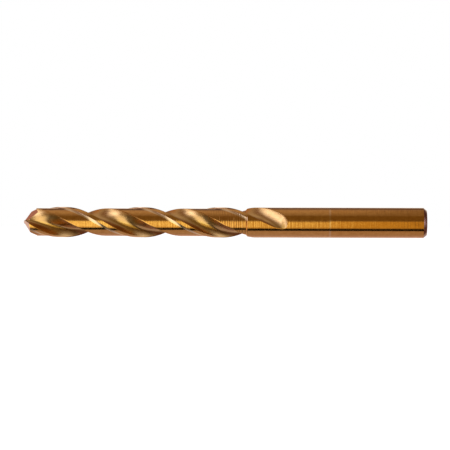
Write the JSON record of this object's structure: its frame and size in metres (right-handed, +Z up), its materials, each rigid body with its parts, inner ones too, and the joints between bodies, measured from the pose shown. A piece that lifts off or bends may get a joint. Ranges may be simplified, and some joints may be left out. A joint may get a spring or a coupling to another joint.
{
  "type": "twist drill",
  "caption": "Straight-shank twist drill, jobber length, with right-hand spiral flutes, narrow margins, a split point and a gold-coloured surface film; held by its plain shank.",
  "frame": {"origin": "centre of the flat end face of the shank, on the drill's axis", "axes": "+X along the drill's axis, out of the shank's end face; the point lies at -X; +Z up; one lip's outer corner faces -Y"},
  "size_m": [0.133, 0.01, 0.01],
  "materials": {
    "coated_cutting_steel": "ground high-speed steel with a thin gold-coloured film",
    "coated_shank_steel": "ground tool steel with a thin gold-coloured film"
  },
  "bodies": {
    "root": {"fluted_body": "coated_cutting_steel", "shank": "coated_shank_steel"}
  },
  "joints": []
}
